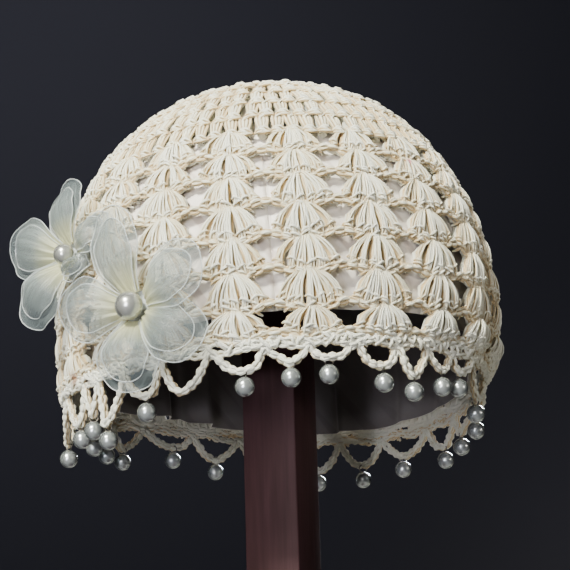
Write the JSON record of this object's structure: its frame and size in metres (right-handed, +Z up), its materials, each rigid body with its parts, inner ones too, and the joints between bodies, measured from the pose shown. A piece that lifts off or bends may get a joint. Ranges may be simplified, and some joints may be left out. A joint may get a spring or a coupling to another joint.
{
  "type": "crochet hat on a wooden stand",
  "caption": "Domed crochet lace hat with shell stitches, a picot edge hung with pearl beads, two organza flowers and a satin lining, on a square wooden post stand.",
  "frame": {"origin": "centre of the stand base's underside, on the surface it stands on", "axes": "+Z up along the post, -Y towards the front of the hat, +X to the right as seen from the front"},
  "size_m": [0.2168, 0.2102, 0.3569],
  "materials": {
    "cotton": "matt crochet cotton",
    "satin": "satin",
    "organza": "sheer with a glitter",
    "pearl": "pearl",
    "wood": "dark satin varnish"
  },
  "bodies": {
    "root": {"crown": "cotton", "shell_round_1": "cotton", "shell_round_2": "cotton", "shell_round_3": "cotton", "shell_round_4": "cotton", "shell_round_5": "cotton", "shell_round_6": "cotton", "picot_edging": "cotton", "satin_lining": "satin", "front_flower_pad": "organza", "front_flower_petal_1": "organza", "front_flower_petal_2": "organza", "front_flower_petal_3": "organza", "front_flower_petal_4": "organza", "front_flower_petal_5": "organza", "side_flower_pad": "organza", "side_flower_petal_1": "organza", "side_flower_petal_2": "organza", "side_flower_petal_3": "organza", "side_flower_petal_4": "organza", "side_flower_petal_5": "organza", "front_flower_bead": "pearl", "side_flower_bead": "pearl", "bead_01": "pearl", "bead_02": "pearl", "bead_03": "pearl", "bead_04": "pearl", "bead_05": "pearl", "bead_07": "pearl", "bead_08": "pearl", "bead_09": "pearl", "bead_10": "pearl", "bead_11": "pearl", "bead_12": "pearl", "bead_13": "pearl", "bead_14": "pearl", "bead_15": "pearl", "bead_16": "pearl", "bead_17": "pearl", "bead_18": "pearl", "bead_19": "pearl", "bead_20": "pearl", "bead_21": "pearl", "bead_22": "pearl", "bead_23": "pearl", "bead_24": "pearl", "bead_25": "pearl", "bead_26": "pearl", "stand_head": "wood", "stand_post": "wood", "stand_base": "wood"}
  },
  "joints": []
}
